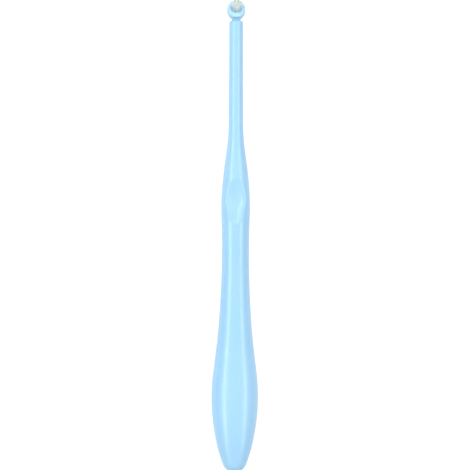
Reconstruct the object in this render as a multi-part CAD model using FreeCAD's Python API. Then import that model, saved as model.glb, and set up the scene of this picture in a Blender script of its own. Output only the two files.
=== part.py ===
"""Single-tuft (end-tuft) toothbrush with a plug-in head, modelled lying on its back.

Millimetres.  X is across the handle, +Y runs from the butt of the handle to the
head, +Z is up, the side that the bristles and the thumb rest face.  The origin
is the bottom centre of the whole brush's box, on the surface that it lies on.

Pieces: handle (one moulding, with a keyed socket in the neck's square end),
brush_head (a round cup on a keyed shank), tuft_anchor (the flat wire that holds
the folded filaments in the cup) and bristle_tuft (the filament bundle).
"""

import FreeCAD, Part

import math
import os

V = FreeCAD.Vector

# ---------------------------------------------------------------- driving sizes
NECK_END_Y = 73.25        # square end of the neck, measured on its axis
NECK_END_R = 0.25         # soft edge round it

HEAD_DIA = 6.2
HEAD_BAND_LOW = 0.7       # the cup's side is straight from this far behind the axis
HEAD_BAND_HIGH = 2.35     # to this far in front of it
HEAD_RIM_DIA = 5.96       # the side tapers to this
HEAD_BACK = 2.62          # cup depth behind the shank's axis
HEAD_FACE = 2.9           # cup height in front of the shank's axis
HEAD_STANDOFF = 3.58      # neck end to the cup's centre, along the neck
HEAD_TILT = 12.5          # degrees that the tuft leans towards the tip
FACE_DIA = 5.2            # where the cup's shoulder meets its flat face

DISH_DIA = 3.4            # shallow recess round the tuft
DISH_DEPTH = 0.45

SHANK_DIA = 2.92
SHANK_LENGTH = 10.0       # inside the socket
SHANK_FLAT = 1.12         # key flat's distance from the shank's axis
SOCKET_CLEARANCE = 0.03   # radial
SOCKET_DEPTH = 10.5

HOLE_DIA = 2.1            # tuft hole, in the dish
HOLE_DEPTH = 3.2
ANCHOR_THICK = 0.25
ANCHOR_HEIGHT = 1.4
ANCHOR_BITE = 0.2         # how far each end of the anchor bites into the cup
ANCHOR_LOW = 0.4          # anchor's lower edge above the hole's floor

TUFT_DIA = 2.06           # in the hole
TUFT_TIP_DIA = 3.6        # the filaments flare to this
TUFT_SIDE = 6.0           # filaments round the outside, above the cup's face
TUFT_LENGTH = 6.9         # filaments in the middle

OVERHANG = 0.35           # the tuft's tip past half the nominal length

REST_Z = 0.0              # plane of the flat under the grip

THUMB_RIM_R = 1.1

# Handle sections: y, half width, upper thickness and lower thickness as shares
# of the half width, and the height of the widest line.
SECTIONS = [
    (-80.00, 0.00, 0.86, 0.84, 5.85),
    (-79.86, 1.35, 0.86, 0.84, 5.85),
    (-79.55, 2.10, 0.86, 0.84, 5.85),
    (-79.10, 2.75, 0.86, 0.84, 5.85),
    (-78.40, 3.41, 0.86, 0.84, 5.85),
    (-77.30, 4.02, 0.855, 0.84, 5.86),
    (-75.80, 4.57, 0.85, 0.84, 5.86),
    (-72.00, 5.72, 0.835, 0.83, 5.88),
    (-68.00, 6.61, 0.82, 0.81, 5.90),
    (-64.00, 7.25, 0.81, 0.80, 5.92),
    (-60.00, 7.68, 0.80, 0.79, 5.94),
    (-56.00, 7.89, 0.80, 0.785, 5.96),
    (-52.00, 7.87, 0.80, 0.785, 5.98),
    (-48.00, 7.60, 0.805, 0.79, 6.00),
    (-44.00, 7.15, 0.82, 0.80, 6.03),
    (-40.00, 6.65, 0.835, 0.82, 6.07),
    (-35.00, 6.08, 0.86, 0.845, 6.13),
    (-30.00, 5.61, 0.88, 0.865, 6.20),
    (-24.00, 5.19, 0.905, 0.885, 6.30),
    (-18.00, 4.88, 0.925, 0.90, 6.42),
    (-12.00, 4.67, 0.94, 0.91, 6.55),
    (-6.00, 4.57, 0.95, 0.92, 6.68),
    (0.00, 4.58, 0.95, 0.92, 6.80),
    (5.00, 4.70, 0.94, 0.915, 6.87),
    (10.00, 4.845, 0.935, 0.905, 6.88),
    (14.00, 4.77, 0.94, 0.91, 6.82),
    (18.00, 4.48, 0.955, 0.93, 6.67),
    (22.00, 4.08, 0.975, 0.96, 6.43),
    (26.00, 3.59, 0.995, 0.985, 6.12),
    (29.00, 3.16, 1.003, 1.00, 5.85),
    (32.00, 2.78, 1.005, 1.005, 5.56),
    (34.50, 2.57, 1.005, 1.005, 5.31),
    (37.00, 2.45, 1.005, 1.005, 5.06),
    (41.00, 2.405, 1.005, 1.005, 4.67),
    (50.00, 2.375, 1.003, 1.003, 3.89),
    (60.00, 2.335, 1.001, 1.001, 3.23),
    (68.00, 2.308, 1.001, 1.001, 2.92),
    (73.25, 2.29, 1.000, 1.000, 2.7867),
    (78.00, 2.28, 1.000, 1.000, 2.68),
]

# Thumb rest: y, the depth of its floor's middle under the handle's front, and
# its floor's crosswise radius.
THUMB = [
    (24.0, -1.30, 9.0),
    (22.0, -0.60, 8.6),
    (20.2, 0.00, 8.2),
    (18.1, 0.62, 7.8),
    (15.7, 1.26, 7.2),
    (14.0, 1.54, 6.4),
    (12.3, 1.64, 4.9),
    (10.4, 1.53, 2.9),
    (8.7, 1.34, 1.85),
    (7.2, 1.10, 1.35),
    (6.0, 0.80, 1.10),
    (5.0, 0.38, 1.00),
    (4.3, 0.00, 1.00),
    (3.3, -0.70, 1.00),
    (2.2, -1.50, 1.00),
]


# ------------------------------------------------------------- spline utilities
AROUND = 24
STEP = 2 * math.pi / AROUND
POLE_SCALE = 3.0 / (2.0 + math.cos(STEP))   # poles of a uniform cubic ring outside its circle


def basis(i, k, u, knots):
    """B-spline basis function i of degree k at u."""
    if k == 0:
        if knots[i] <= u < knots[i + 1]:
            return 1.0
        return 1.0 if u == knots[-1] and knots[i] < u <= knots[i + 1] else 0.0
    out = 0.0
    if knots[i + k] > knots[i]:
        out += (u - knots[i]) / (knots[i + k] - knots[i]) * basis(i, k - 1, u, knots)
    if knots[i + k + 1] > knots[i + 1]:
        out += (knots[i + k + 1] - u) / (knots[i + k + 1] - knots[i + 1]) * basis(i + 1, k - 1, u, knots)
    return out


def solve(rows, rhs):
    """Gaussian elimination with several right-hand sides."""
    n = len(rows)
    m = [list(r) + list(q) for r, q in zip(rows, rhs)]
    for i in range(n):
        p = max(range(i, n), key=lambda j: abs(m[j][i]))
        m[i], m[p] = m[p], m[i]
        for j in range(i + 1, n):
            if m[j][i]:
                f = m[j][i] / m[i][i]
                for k in range(i, len(m[j])):
                    m[j][k] -= f * m[i][k]
    out = [None] * n
    for i in range(n - 1, -1, -1):
        out[i] = [
            (m[i][n + c] - sum(m[i][j] * out[j][c] for j in range(i + 1, n))) / m[i][i]
            for c in range(len(rhs[0]))
        ]
    return out


def cubic_through(values, params, start, end):
    """Poles and knots of the clamped cubic through values, with given end slopes."""
    knots = [params[0]] * 4 + list(params[1:-1]) + [params[-1]] * 4
    n = len(values) + 2
    rows = [[basis(i, 3, u, knots) for i in range(n)] for u in params]
    first = [0.0] * n
    k0 = 3.0 / (knots[4] - knots[1])
    first[0], first[1] = -k0, k0
    last = [0.0] * n
    k1 = 3.0 / (knots[n + 2] - knots[n - 1])
    last[n - 2], last[n - 1] = -k1, k1
    return solve(rows + [first, last], list(values) + [start, end]), knots


def body_surface(rows):
    """Smooth closed skin through the sections, ending in a pole at the butt."""
    params, s = [0.0], 0.0
    for p, q in zip(rows, rows[1:]):
        s += math.hypot(q[0] - p[0], q[1] - p[1])
        params.append(s)
    values = [(r[0], r[1], r[1] * r[2], r[1] * r[3], r[4]) for r in rows]
    r0 = rows[0]
    ds = params[-1] - params[-2]
    end = [(q - p) / ds for p, q in zip(values[-2], values[-1])]
    # no slope along the handle at the pole, so that the butt is domed and not pointed
    lines, knots = cubic_through(values, params, (0.0, 1.0, r0[2], r0[3], 0.0), end)
    poles = []
    for i in range(AROUND):
        a = -math.pi / 2 + i * STEP
        ca, sa = math.cos(a) * POLE_SCALE, math.sin(a) * POLE_SCALE
        poles.append([
            V(w * ca, y, z + (up if sa > 0 else dn) * sa)
            for y, w, up, dn, z in lines
        ])
    surf = Part.BSplineSurface()
    surf.buildFromPolesMultsKnots(
        poles,
        [1] * (AROUND + 1),
        [4] + [1] * (len(params) - 2) + [4],
        [float(k) for k in range(AROUND + 1)],
        params,
        True,
        False,
        3,
        3,
    )

    def at(u):
        n = len(lines)
        w = [basis(i, 3, u, knots) for i in range(n)]
        return [sum(w[i] * lines[i][c] for i in range(n)) for c in range(5)]

    return surf, at, params


def solid_of(shape_faces):
    shell = Part.makeShell(shape_faces)
    shell.sewShape()
    sol = Part.makeSolid(shell if shell.ShapeType == "Shell" else Part.Shell(shell.Faces))
    if sol.Volume < 0:
        sol.reverse()
    return sol


# ----------------------------------------------------------------- local frames
_after = [r for r in SECTIONS if r[0] > NECK_END_Y][0]
_at_end = [r for r in SECTIONS if r[0] == NECK_END_Y][0]
NECK_ANGLE = math.atan((_at_end[4] - _after[4]) / (_after[0] - _at_end[0]))   # the neck's slope at its end
NECK_DIR = V(0, math.cos(NECK_ANGLE), -math.sin(NECK_ANGLE))
NECK_END = V(0, NECK_END_Y, _at_end[4])
TUFT_DIR = V(0, math.sin(math.radians(HEAD_TILT)), math.cos(math.radians(HEAD_TILT)))
HEAD_C = NECK_END + NECK_DIR * HEAD_STANDOFF


def placed(shape, origin, zdir, xdir=V(1, 0, 0)):
    """Moves a shape made about the origin, along +Z, to origin with its Z along zdir."""
    z = V(zdir).normalize()
    x = V(xdir)
    y = z.cross(x)
    m = FreeCAD.Matrix(
        x.x, y.x, z.x, origin.x,
        x.y, y.y, z.y, origin.y,
        x.z, y.z, z.z, origin.z,
        0, 0, 0, 1,
    )
    return shape.copy().transformed(m)


# ----------------------------------------------------------------------- handle
def keyed_rod(radius, flat, start, key_end, end):
    """Round rod along +Z from start to end, with one flat on its +Y side up to key_end."""
    rod = Part.makeCylinder(radius, end - start, V(0, 0, start), V(0, 0, 1))
    chip = Part.makeBox(4 * radius, 2 * radius, key_end - start + 1, V(-2 * radius, flat, start - 1))
    return rod.cut(chip)


def make_handle():
    surf, at, params = body_surface(SECTIONS)
    skin = surf.toShape()
    last = [e for e in skin.Edges if e.BoundBox.YLength < 1e-4 and e.BoundBox.YMin > 77]
    cap = Part.Face(Part.Wire(last))
    body = solid_of([skin, cap])

    # square end of the neck
    block = Part.makeBox(30, 30, 20, V(-15, -15, 0))
    body = body.cut(placed(block, NECK_END, NECK_DIR))

    # flat that the grip lies on
    body = body.cut(Part.makeBox(60, 200, 5, V(-30, -100, REST_Z - 5)))

    # thumb rest
    def front(y):
        lo, hi = params[0], params[-1]
        for _ in range(40):
            mid = (lo + hi) / 2
            if at(mid)[0] < y:
                lo = mid
            else:
                hi = mid
        r = at(lo)
        return r[4] + r[2]

    # the floor curves up crosswise, and flattens off once it is clear of the handle
    def rise(x, r):
        t = x * x / (2 * r)
        return t / math.sqrt(1 + (t / 4) ** 2)

    xs = [-4.5 + 0.5 * i for i in range(19)]
    line = [(y, front(y) - d, r) for y, d, r in THUMB]
    grid = [[V(x, y, z + rise(x, r)) for y, z, r in line] for x in xs]
    scoop = Part.BSplineSurface()
    scoop.interpolate(grid)
    floor = scoop.toShape()
    tool = floor.extrude(V(0, 0, 14))
    if tool.ShapeType != "Solid":
        tool = Part.makeSolid(Part.Shell(tool.Faces))
    body = body.cut(tool)
    rim = [
        e for e in body.Edges
        if e.BoundBox.YMin > 2 and e.BoundBox.YMax < 23 and e.BoundBox.ZMin > 7.5 and e.Length > 1
    ]
    print("thumb rim edges", len(rim), [round(e.Length, 2) for e in rim])
    try:
        rounded = body.makeFillet(THUMB_RIM_R, rim)
        if rounded.isValid() and abs(rounded.Volume - body.Volume) < 30:
            body = rounded
        else:
            print("thumb rim fillet rejected", rounded.isValid(), rounded.Volume, body.Volume)
    except Exception as error:
        print("thumb rim fillet failed:", error)

    # keyed socket in the neck's end
    r = SHANK_DIA / 2 + SOCKET_CLEARANCE
    socket = keyed_rod(r, SHANK_FLAT + SOCKET_CLEARANCE, -SOCKET_DEPTH, 2, 1)
    body = body.cut(placed(socket, NECK_END, NECK_DIR))
    # soft edge round the square end
    ends = [
        e for e in body.Edges
        if e.BoundBox.YMin > NECK_END_Y - 0.6 and 2 * math.pi * 1.9 < e.Length
    ]
    print("neck end edges", len(ends), [round(e.Length, 2) for e in ends])
    try:
        rounded = body.makeFillet(NECK_END_R, ends)
        if rounded.isValid():
            body = rounded
    except Exception as error:
        print("neck end fillet failed:", error)
    return body


# ------------------------------------------------------------------- brush head
def spline_edge(points, start, end):
    c = Part.BSplineCurve()
    c.interpolate(Points=points, InitialTangent=start, FinalTangent=end)
    return c.toShape()


def make_head():
    r, f, b = HEAD_DIA / 2, HEAD_FACE, HEAD_BACK
    # half profile: X is the radius, Z runs along the tuft, from the back's pole round to the face
    n = 9
    lo, hi = HEAD_BAND_LOW, HEAD_BAND_HIGH
    r_in, r_rim = FACE_DIA / 2, HEAD_RIM_DIA / 2
    back, front = [], []
    e = 2.25
    for i in range(n + 1):
        t = math.pi / 2 * i / n
        back.append(V(r * math.sin(t) ** (2 / e), 0, -lo - (b - lo) * math.cos(t) ** (2 / e)))
        front.append(V(r_in + (r_rim - r_in) * math.cos(t), 0, hi + (f - hi) * math.sin(t)))
    edges = [
        spline_edge(back, V(1, 0, 0), V(0, 0, 1)),
        Part.makeLine(back[-1], front[0]),
        spline_edge(front, V(0, 0, 1), V(-1, 0, 0)),
        Part.makeLine(front[-1], V(0, 0, f)),
        Part.makeLine(V(0, 0, f), V(0, 0, -b)),
    ]
    face = Part.Face(Part.Wire(edges))
    cup = face.revolve(V(0, 0, 0), V(0, 0, 1), 360)
    if cup.ShapeType != "Solid":
        cup = Part.makeSolid(Part.Shell(cup.Faces))
    cup = placed(cup, HEAD_C, TUFT_DIR)

    shank = keyed_rod(SHANK_DIA / 2, SHANK_FLAT, -SHANK_LENGTH, 0.05, HEAD_STANDOFF)
    # lead-in chamfer at the shank's free end
    tip = [e for e in shank.Edges if abs(e.BoundBox.ZMax + SHANK_LENGTH) < 1e-3 and e.BoundBox.ZLength < 1e-3]
    shank = shank.makeChamfer(0.3, tip)
    shank = placed(shank, NECK_END, NECK_DIR)
    head = cup.fuse(shank)
    head = head.removeSplitter()
    # small blend where the shank meets the cup
    seam = []
    for e in head.Edges:
        bb = e.BoundBox
        if NECK_END_Y + 0.2 < bb.YMin and bb.YMax < HEAD_C.y - 0.8 and bb.XLength > 1.0 and e.Length < 12:
            seam.append(e)
    print("shank seam edges", len(seam), [round(e.Length, 2) for e in seam])
    try:
        rounded = head.makeFillet(0.3, seam)
        if rounded.isValid():
            head = rounded
        else:
            print("shank blend rejected")
    except Exception as error:
        print("shank blend failed:", error)
    hole_r, dish_r = HOLE_DIA / 2, DISH_DIA / 2
    floor = HEAD_FACE - DISH_DEPTH
    # dish with a soft lip and a hollowed corner, then the tuft hole with a small lead-in
    lip, cove = 0.14, 0.16
    q = math.sqrt(0.5)
    outline = [
        Part.makeLine(V(0, 0, floor), V(dish_r - cove, 0, floor)),
        Part.Arc(V(dish_r - cove, 0, floor), V(dish_r - cove + cove * q, 0, floor + cove - cove * q),
                 V(dish_r, 0, floor + cove)).toShape(),
        Part.makeLine(V(dish_r, 0, floor + cove), V(dish_r, 0, HEAD_FACE - lip)),
        Part.Arc(V(dish_r, 0, HEAD_FACE - lip), V(dish_r + lip - lip * q, 0, HEAD_FACE - lip + lip * q),
                 V(dish_r + lip, 0, HEAD_FACE)).toShape(),
        Part.makeLine(V(dish_r + lip, 0, HEAD_FACE), V(dish_r + lip, 0, HEAD_FACE + 1)),
        Part.makeLine(V(dish_r + lip, 0, HEAD_FACE + 1), V(0, 0, HEAD_FACE + 1)),
        Part.makeLine(V(0, 0, HEAD_FACE + 1), V(0, 0, floor)),
    ]
    dish = Part.Face(Part.Wire(outline)).revolve(V(0, 0, 0), V(0, 0, 1), 360)
    if dish.ShapeType != "Solid":
        dish = Part.makeSolid(Part.Shell(dish.Faces))
    hole = Part.makeCylinder(hole_r, HOLE_DEPTH + 0.2, V(0, 0, floor - HOLE_DEPTH), V(0, 0, 1))
    lead = Part.makeCone(hole_r, hole_r + 0.3, 0.3, V(0, 0, floor - 0.1), V(0, 0, 1))
    w = HOLE_DIA + 2 * ANCHOR_BITE
    slot = Part.makeBox(w, ANCHOR_THICK, ANCHOR_HEIGHT, V(-w / 2, -ANCHOR_THICK / 2, floor - HOLE_DEPTH + ANCHOR_LOW))
    for tool in (dish, hole, lead, slot):
        head = head.cut(placed(tool, HEAD_C, TUFT_DIR))
    return head


def make_anchor():
    z0 = HEAD_FACE - DISH_DEPTH - HOLE_DEPTH + ANCHOR_LOW
    w = HOLE_DIA + 2 * ANCHOR_BITE
    plate = Part.makeBox(w, ANCHOR_THICK, ANCHOR_HEIGHT, V(-w / 2, -ANCHOR_THICK / 2, z0))
    return placed(plate, HEAD_C, TUFT_DIR)


def make_tuft():
    r0, r1 = TUFT_DIA / 2, TUFT_TIP_DIA / 2
    dish = HEAD_FACE - DISH_DEPTH
    zb = dish - HOLE_DEPTH + 0.03
    zs = HEAD_FACE + TUFT_SIDE
    root_r = 0.4
    n = 7
    dome = []
    for i in range(n + 1):
        t = math.pi / 2 * i / n
        dome.append(V(r1 * math.cos(t), 0, zs + (TUFT_LENGTH - TUFT_SIDE) * math.sin(t)))
    k = root_r * (1 - math.sqrt(0.5))
    edges = [
        Part.makeLine(V(0, 0, zb), V(r0 - root_r, 0, zb)),
        Part.Arc(V(r0 - root_r, 0, zb), V(r0 - k, 0, zb + k), V(r0, 0, zb + root_r)).toShape(),
        Part.makeLine(V(r0, 0, zb + root_r), V(r0, 0, dish)),
        spline_edge([V(r0, 0, dish), V(r0 + (r1 - r0) * 0.45, 0, dish + (zs - dish) * 0.5), V(r1, 0, zs)],
                    V(0, 0, 1), V(0.06, 0, 1)),
        spline_edge(dome, V(0, 0, 1), V(-1, 0, 0)),
        Part.makeLine(dome[-1], V(0, 0, zb)),
    ]
    face = Part.Face(Part.Wire(edges))
    tuft = face.revolve(V(0, 0, 0), V(0, 0, 1), 360)
    if tuft.ShapeType != "Solid":
        tuft = Part.makeSolid(Part.Shell(tuft.Faces))
    gap = 0.02
    z0 = dish - HOLE_DEPTH + ANCHOR_LOW
    slit = Part.makeBox(6, ANCHOR_THICK + 2 * gap, ANCHOR_HEIGHT + 2 * gap, V(-3, -ANCHOR_THICK / 2 - gap, z0 - gap))
    tuft = tuft.cut(slit)
    return placed(tuft, HEAD_C, TUFT_DIR)


def main():
    os.makedirs("parts", exist_ok=True)
    # the tuft leans past the head, so everything moves back to keep the origin at the box's centre
    shift = V(0, -OVERHANG / 2, 0)
    made = {
        "handle": make_handle(),
        "brush_head": make_head(),
        "tuft_anchor": make_anchor(),
        "bristle_tuft": make_tuft(),
    }
    for name, shape in made.items():
        solids = shape.Solids
        out = solids[0] if len(solids) == 1 else Part.makeCompound(solids)
        out = out.translated(shift)
        bb = out.BoundBox
        cg = out.CenterOfGravity if hasattr(out, "CenterOfGravity") else solids[0].CenterOfMass
        print("%-14s solids %d valid %s closed %s volume %.2f  box %.2f..%.2f %.2f..%.2f %.2f..%.2f cg %.1f %.1f %.1f" % (
            name, len(solids), out.isValid(), all(s.isClosed() for s in solids), out.Volume,
            bb.XMin, bb.XMax, bb.YMin, bb.YMax, bb.ZMin, bb.ZMax, cg.x, cg.y, cg.z))
        out.exportStep("parts/%s.step" % name)
    print("neck end", NECK_END + shift, "neck direction", NECK_DIR)
    print("cup centre", HEAD_C + shift, "tuft direction", TUFT_DIR)


main()
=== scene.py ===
"""Single-tuft toothbrush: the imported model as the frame, with its plastic, wire and nylon."""

import math
import random

import bmesh
import bpy
from mathutils import Matrix, Vector


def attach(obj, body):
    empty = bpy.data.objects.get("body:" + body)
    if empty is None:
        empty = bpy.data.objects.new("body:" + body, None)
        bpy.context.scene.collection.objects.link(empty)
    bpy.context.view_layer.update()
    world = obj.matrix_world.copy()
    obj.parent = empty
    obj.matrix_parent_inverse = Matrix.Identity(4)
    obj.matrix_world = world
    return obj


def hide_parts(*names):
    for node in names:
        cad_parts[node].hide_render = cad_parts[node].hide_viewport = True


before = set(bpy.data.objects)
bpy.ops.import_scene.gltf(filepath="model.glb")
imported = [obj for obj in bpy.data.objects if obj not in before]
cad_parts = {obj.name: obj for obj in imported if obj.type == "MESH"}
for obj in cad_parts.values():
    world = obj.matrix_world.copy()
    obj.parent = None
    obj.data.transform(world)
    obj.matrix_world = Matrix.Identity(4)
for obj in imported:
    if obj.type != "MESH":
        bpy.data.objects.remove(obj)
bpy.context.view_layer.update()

MM = 0.001

scene = bpy.context.scene


# ------------------------------------------------------------------ node helpers
class Nodes:
    """A little shorthand for building a material."""

    def __init__(self, name):
        self.mat = bpy.data.materials.new(name)
        self.mat.use_nodes = True
        self.tree = self.mat.node_tree
        self.tree.nodes.clear()
        self.out = self.tree.nodes.new("ShaderNodeOutputMaterial")
        self.bsdf = self.tree.nodes.new("ShaderNodeBsdfPrincipled")
        self.link(self.bsdf.outputs["BSDF"], self.out.inputs["Surface"])

    def link(self, a, b):
        self.tree.links.new(a, b)

    def add(self, kind, **values):
        node = self.tree.nodes.new(kind)
        for key, value in values.items():
            if hasattr(node, key):
                setattr(node, key, value)
            else:
                node.inputs[key].default_value = value
        return node

    def object_coords(self):
        return self.add("ShaderNodeTexCoord").outputs["Object"]

    def noise(self, coords, scale, detail=2.0, rough=0.5, stretch=None):
        if stretch:
            m = self.add("ShaderNodeMapping")
            m.inputs["Scale"].default_value = stretch
            self.link(coords, m.inputs["Vector"])
            coords = m.outputs["Vector"]
        n = self.add("ShaderNodeTexNoise")
        n.inputs["Scale"].default_value = scale
        n.inputs["Detail"].default_value = detail
        n.inputs["Roughness"].default_value = rough
        self.link(coords, n.inputs["Vector"])
        return n.outputs["Fac"]

    def remap(self, value, lo, hi, a, b):
        r = self.add("ShaderNodeMapRange")
        for key, v in (("From Min", lo), ("From Max", hi), ("To Min", a), ("To Max", b)):
            r.inputs[key].default_value = v
        self.link(value, r.inputs["Value"])
        return r.outputs["Result"]

    def ramp(self, value, stops):
        r = self.add("ShaderNodeValToRGB")
        e = r.color_ramp.elements
        while len(e) < len(stops):
            e.new(0.5)
        for el, (pos, col) in zip(e, stops):
            el.position = pos
            el.color = (*col, 1.0)
        self.link(value, r.inputs["Fac"])
        return r.outputs["Color"]

    def bump(self, height, strength, distance, normal=None):
        b = self.add("ShaderNodeBump")
        b.inputs["Strength"].default_value = strength
        b.inputs["Distance"].default_value = distance
        self.link(height, b.inputs["Height"])
        if normal is not None:
            self.link(normal, b.inputs["Normal"])
        return b.outputs["Normal"]


def set_in(bsdf, **values):
    for key, value in values.items():
        bsdf.inputs[key.replace("_", " ")].default_value = value


# --------------------------------------------------------------------- materials
def plastic(name, light, deep, scatter, stem_shade=None):
    """Moulded polypropylene: milky, evenly tinted, satin gloss with the mould's faint texture, and optionally a
    painted shade that darkens the stem.
    """
    m = Nodes(name)
    co = m.object_coords()
    cloud = m.noise(co, 60.0, 3.0, 0.5)
    flow = m.noise(co, 22.0, 2.0, 0.5, (1.0, 0.18, 1.0))
    mix = m.add("ShaderNodeMath", operation="MULTIPLY")
    m.link(cloud, mix.inputs[0])
    m.link(flow, mix.inputs[1])
    colour = m.ramp(mix.outputs[0], [(0.10, deep), (0.42, light)])
    if stem_shade:
        # painted shade: the stem's colour is darkened towards the neck, standing in for the shade it lies in between
        # cup and neck
        xyz = m.add("ShaderNodeSeparateXYZ")
        m.link(co, xyz.inputs[0])
        painted_shade = m.ramp(m.remap(xyz.outputs["Y"], stem_shade[0] * MM, stem_shade[1] * MM, 0.0, 1.0), [(0.0, stem_shade[2]), (1.0, (1.0, 1.0, 1.0))])
        both = m.add("ShaderNodeMix", data_type="RGBA", blend_type="MULTIPLY")
        both.inputs["Factor"].default_value = 1.0
        m.link(colour, both.inputs[6])
        m.link(painted_shade, both.inputs[7])
        colour = both.outputs[2]
    m.link(colour, m.bsdf.inputs["Base Color"])
    smear = m.noise(co, 140.0, 3.0, 0.6)
    m.link(m.remap(smear, 0.3, 0.7, 0.27, 0.37), m.bsdf.inputs["Roughness"])
    grain = m.noise(co, 5200.0, 2.0, 0.5)
    ripple = m.noise(co, 420.0, 2.0, 0.5)
    n1 = m.bump(ripple, 0.18, 0.00004)
    m.link(m.bump(grain, 0.10, 0.00001, n1), m.bsdf.inputs["Normal"])
    set_in(m.bsdf, IOR=1.49, Subsurface_Weight=scatter, Subsurface_Scale=0.0014, Subsurface_Anisotropy=0.2)
    m.bsdf.inputs["Subsurface Radius"].default_value = (0.7, 1.0, 1.25)
    return m.mat


def nylon(name, base, tip):
    """Undyed nylon filament: slightly see-through, with a soft shine."""
    m = Nodes(name)
    co = m.object_coords()
    n = m.noise(co, 900.0, 2.0, 0.5)
    m.link(m.ramp(n, [(0.30, base), (0.70, tip)]), m.bsdf.inputs["Base Color"])
    m.link(m.remap(n, 0.3, 0.7, 0.28, 0.42), m.bsdf.inputs["Roughness"])
    set_in(m.bsdf, IOR=1.53, Subsurface_Weight=0.25, Subsurface_Scale=0.0004)
    m.bsdf.inputs["Subsurface Radius"].default_value = (1.0, 1.0, 0.95)
    return m.mat


def wire(name):
    """Drawn flat wire, brassy, with fine marks along its length."""
    m = Nodes(name)
    co = m.object_coords()
    streak = m.noise(co, 3000.0, 3.0, 0.6, (0.08, 1.0, 1.0))
    m.link(m.ramp(streak, [(0.3, (0.56, 0.45, 0.24)), (0.7, (0.76, 0.64, 0.38))]), m.bsdf.inputs["Base Color"])
    m.link(m.remap(streak, 0.3, 0.7, 0.22, 0.4), m.bsdf.inputs["Roughness"])
    m.link(m.bump(streak, 0.2, 0.00001), m.bsdf.inputs["Normal"])
    set_in(m.bsdf, Metallic=1.0)
    return m.mat


HANDLE_BLUE = plastic("handle_blue_polypropylene", (0.42, 0.715, 0.975), (0.375, 0.68, 0.96), 0.15)
# painted shade on the head's stem: its colour is darkened below 74.5 mm along the brush, fully from 73.8 mm down
HEAD_BLUE = plastic("head_pale_blue_polypropylene", (0.52, 0.80, 0.98), (0.47, 0.77, 0.97), 0.20,
                    stem_shade=(73.8, 74.5, (0.72, 0.80, 0.82)))
NYLON = nylon("nylon_greyish_ivory", (0.81, 0.88, 0.855), (0.86, 0.92, 0.90))
BRASS = wire("anchor_brass_wire")


def dress(node, material):
    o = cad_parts[node]
    if o.material_slots:
        for s in o.material_slots:
            s.link = "OBJECT"
            s.material = material
    else:
        o.data.materials.append(material)
    return o


dress("handle", HANDLE_BLUE)
dress("brush_head", HEAD_BLUE)
dress("tuft_anchor", BRASS)


# --------------------------------------------------------------------- the tuft
# The head's place and lean, as the CAD has them.
HEAD_C = Vector((0.0, 76.6542, 2.7063)) * MM
TILT = math.radians(12.5)
N = Vector((0, math.sin(TILT), math.cos(TILT)))        # out of the cup
U = Vector((1, 0, 0))
W = N.cross(U)                                          # towards the tip, across the tuft
FACE = 2.9 * MM
DISH = FACE - 0.45 * MM                                 # floor of the recess round the tuft
FLOOR = DISH - 3.2 * MM                                 # floor of the tuft hole
ANCHOR_TOP = FLOOR + 1.8 * MM
HOLE_R = 1.05 * MM
TIP_R = 1.78 * MM
FIL_R = 0.075 * MM
COUNT = 150
SIDE_L, MID_L = 6.05 * MM, 6.9 * MM


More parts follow.
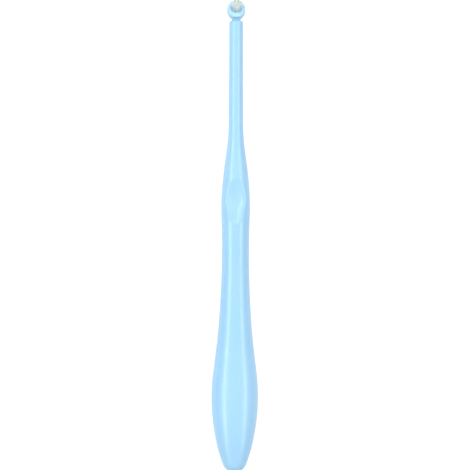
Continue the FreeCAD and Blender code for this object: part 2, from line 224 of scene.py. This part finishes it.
def tuft():
    rnd = random.Random(7)
    bm = bmesh.new()
    sides = 8
    spread = (TIP_R - FIL_R) / (HOLE_R - FIL_R)
    for k in range(COUNT):
        # sunflower spread of filaments in the hole
        q = math.sqrt((k + 0.5) / COUNT)
        a = k * 2.399963
        rr = min(q * (HOLE_R - FIL_R) + rnd.uniform(-0.02, 0.02) * MM, HOLE_R - FIL_R - 0.004 * MM)
        root = (rr * math.cos(a), rr * math.sin(a))
        # they fan out a little above the dish, each with its own small stray
        jit = 0.045 * MM
        tip = (
            root[0] * spread + rnd.gauss(0, 1) * jit,
            root[1] * spread + rnd.gauss(0, 1) * jit,
        )
        d = math.hypot(*tip)
        if d > TIP_R:
            tip = (tip[0] / d * TIP_R, tip[1] / d * TIP_R)
        d = min(1.0, math.hypot(*tip) / TIP_R)
        length = SIDE_L + (MID_L - SIDE_L) * math.sqrt(max(0.0, 1 - d * d)) - rnd.uniform(0.0, 0.12) * MM
        bow = (rnd.gauss(0, 0.03) * MM, rnd.gauss(0, 0.03) * MM)
        # the ones that cross the anchor start on top of it
        z0 = ANCHOR_TOP + 0.04 * MM if abs(root[1]) < 0.23 * MM else FLOOR + 0.05 * MM
        top = FACE + length
        stations = []
        steps = 10
        for i in range(steps + 1):
            t = i / steps
            z = z0 + (top - z0) * t
            f = min(1.0, max(0.0, (z - DISH) / (top - DISH)))
            fan = f ** 1.15
            b = math.sin(math.pi * f)
            stations.append((
                root[0] + (tip[0] - root[0]) * fan + bow[0] * b,
                root[1] + (tip[1] - root[1]) * fan + bow[1] * b,
                z,
                FIL_R,
            ))
        # end-rounded tip
        x, y, z, r = stations[-1]
        stations[-1] = (x, y, z - FIL_R, r)
        for ang in (35, 65):
            stations.append((x, y, z - FIL_R + FIL_R * math.sin(math.radians(ang)), r * math.cos(math.radians(ang))))
        rings = []
        ph = rnd.uniform(0, 1)
        for x, y, z, r in stations:
            ring = []
            for j in range(sides):
                b = 2 * math.pi * (j + ph) / sides
                p = HEAD_C + U * (x + r * math.cos(b)) + W * (y + r * math.sin(b)) + N * z
                ring.append(bm.verts.new(p))
            rings.append(ring)
        for r0, r1 in zip(rings, rings[1:]):
            for j in range(sides):
                bm.faces.new((r0[j], r0[(j + 1) % sides], r1[(j + 1) % sides], r1[j]))
        cap = bm.verts.new(HEAD_C + U * x + W * y + N * stations[-1][2] + N * 0.008 * MM)
        for j in range(sides):
            bm.faces.new((rings[-1][j], rings[-1][(j + 1) % sides], cap))
        bm.faces.new(list(reversed(rings[0])))
    # the packed inside of the tuft, which the filaments stand out of
    rings, around = [], 40
    low, high = DISH - 0.3 * MM, FACE + SIDE_L - 0.35 * MM
    profile = []
    for i in range(15):
        z = low + (high - low) * i / 14
        f = max(0.0, (z - DISH) / (FACE + SIDE_L - DISH))
        profile.append((z, 0.93 * (HOLE_R + (TIP_R - HOLE_R) * f ** 1.15) - 0.02 * MM))
    r_top = profile[-1][1]
    for i in range(1, 7):
        t = math.pi / 2 * i / 7
        profile.append((high + (MID_L - SIDE_L) * math.sin(t), r_top * math.cos(t)))
    for k, (z, r) in enumerate(profile):
        ring = []
        for j in range(around):
            b = 2 * math.pi * j / around
            rr = r * (1 + (0.02 * math.cos(20 * b) if k < 15 else 0.0))
            ring.append(bm.verts.new(HEAD_C + U * rr * math.cos(b) + W * rr * math.sin(b) + N * z))
        rings.append(ring)
    for r0, r1 in zip(rings, rings[1:]):
        for j in range(around):
            bm.faces.new((r0[j], r0[(j + 1) % around], r1[(j + 1) % around], r1[j]))
    for ring, z, flip in ((rings[-1], high + (MID_L - SIDE_L), False), (rings[0], low, True)):
        mid = bm.verts.new(HEAD_C + N * z)
        for j in range(around):
            f = (ring[j], ring[(j + 1) % around], mid)
            bm.faces.new(tuple(reversed(f)) if flip else f)
    me = bpy.data.meshes.new("bristle_filaments")
    bm.to_mesh(me)
    bm.free()
    for poly in me.polygons:
        poly.use_smooth = True
    o = bpy.data.objects.new("bristle_filaments", me)
    scene.collection.objects.link(o)
    me.materials.append(NYLON)
    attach(o, "plug_in_head")
    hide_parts("bristle_tuft")
    return o


tuft()


# -------------------------------------------------------------- floor and light
def floor():
    me = bpy.data.meshes.new("floor")
    s = 60.0
    me.from_pydata([(-s, -s, -0.0005), (s, -s, -0.0005), (s, s, -0.0005), (-s, s, -0.0005)], [], [(0, 1, 2, 3)])
    o = bpy.data.objects.new("floor", me)
    scene.collection.objects.link(o)
    m = Nodes("floor_white")
    co = m.object_coords()
    m.link(m.ramp(m.noise(co, 3.0, 2.0, 0.5), [(0.3, (0.12, 0.12, 0.12)), (0.7, (0.15, 0.15, 0.15))]), m.bsdf.inputs["Base Color"])
    # a lit table top: full white to look at, dimmer on what lies on it
    m.link(m.remap(m.add("ShaderNodeLightPath").outputs["Is Camera Ray"], 0.0, 1.0, 0.70, 0.95), m.bsdf.inputs["Emission Strength"])
    set_in(m.bsdf, Roughness=0.9, IOR=1.3)
    m.bsdf.inputs["Emission Color"].default_value = (1.0, 1.0, 1.0, 1.0)
    me.materials.append(m.mat)
    return o


floor()


def area(name, direction, distance, size, power, colour=(1, 1, 1), target=Vector((0, 0, 0.006))):
    light = bpy.data.lights.new(name, "AREA")
    light.shape = "RECTANGLE"
    light.size, light.size_y = size
    light.energy = power
    light.color = colour
    o = bpy.data.objects.new(name, light)
    d = Vector(direction).normalized()
    o.location = target + d * distance
    along = (Vector((0, 1, 0)) - d * d.y).normalized()      # the light's long side runs with the brush
    o.rotation_mode = "QUATERNION"
    o.rotation_quaternion = Matrix((along.cross(d), along, d)).transposed().to_quaternion()
    scene.collection.objects.link(o)
    return o


area("key_left", (-0.85, 0.08, 0.85), 0.9, (0.16, 1.4), 7.3)
area("fill_right", (0.85, 0.08, 0.85), 0.9, (0.14, 1.4), 6.0)
area("top", (-0.05, 0.50, 1.0), 1.2, (1.7, 1.7), 3.4)

# a dim room round the object, behind a white backdrop
world = bpy.data.worlds.new("studio")
scene.world = world
world.use_nodes = True
wt = world.node_tree
bg = wt.nodes["Background"]
bg.inputs["Color"].default_value = (1.0, 1.0, 1.0, 1.0)
seen = wt.nodes.new("ShaderNodeMapRange")
for key, v in (("From Min", 0.0), ("From Max", 1.0), ("To Min", 0.18), ("To Max", 1.0)):
    seen.inputs[key].default_value = v
wt.links.new(wt.nodes.new("ShaderNodeLightPath").outputs["Is Camera Ray"], seen.inputs["Value"])
wt.links.new(seen.outputs["Result"], bg.inputs["Strength"])

scene.view_settings.view_transform = "Standard"
scene.view_settings.look = "None"
scene.view_settings.exposure = 0.0
scene.view_settings.gamma = 1.0


# ----------------------------------------------------------------------- camera
ROLL = 1.5           # degrees that the camera leans to the brush's left, about its long axis
PITCH = 3.0          # degrees that it leans towards the head
SPIN = 0.25284       # degrees that it turns about its own line of sight
DIST = 0.900
TARGET = Vector((-0.00018816, 0.00069366, 0.0066))
MM_PER_PIXEL = 0.3404 * 0.99581

cam_data = bpy.data.cameras.new("camera")
cam = bpy.data.objects.new("camera", cam_data)
scene.collection.objects.link(cam)
a, b, e = math.radians(ROLL), math.radians(SPIN), math.radians(PITCH)
back = Vector((-math.sin(a) * math.cos(e), math.sin(e), math.cos(a) * math.cos(e)))
right = Vector((0.0, 1.0, 0.0)).cross(back).normalized()
up = back.cross(right)
right, up = right * math.cos(b) + up * math.sin(b), up * math.cos(b) - right * math.sin(b)
rot = Matrix((right, up, back)).transposed()
cam.matrix_world = Matrix.Translation(TARGET + back * DIST) @ rot.to_4x4()
cam_data.sensor_width = 36.0
cam_data.lens = 36.0 * DIST / (470 * MM_PER_PIXEL * MM)
cam_data.clip_start = 0.01
cam_data.clip_end = 20.0
scene.camera = cam
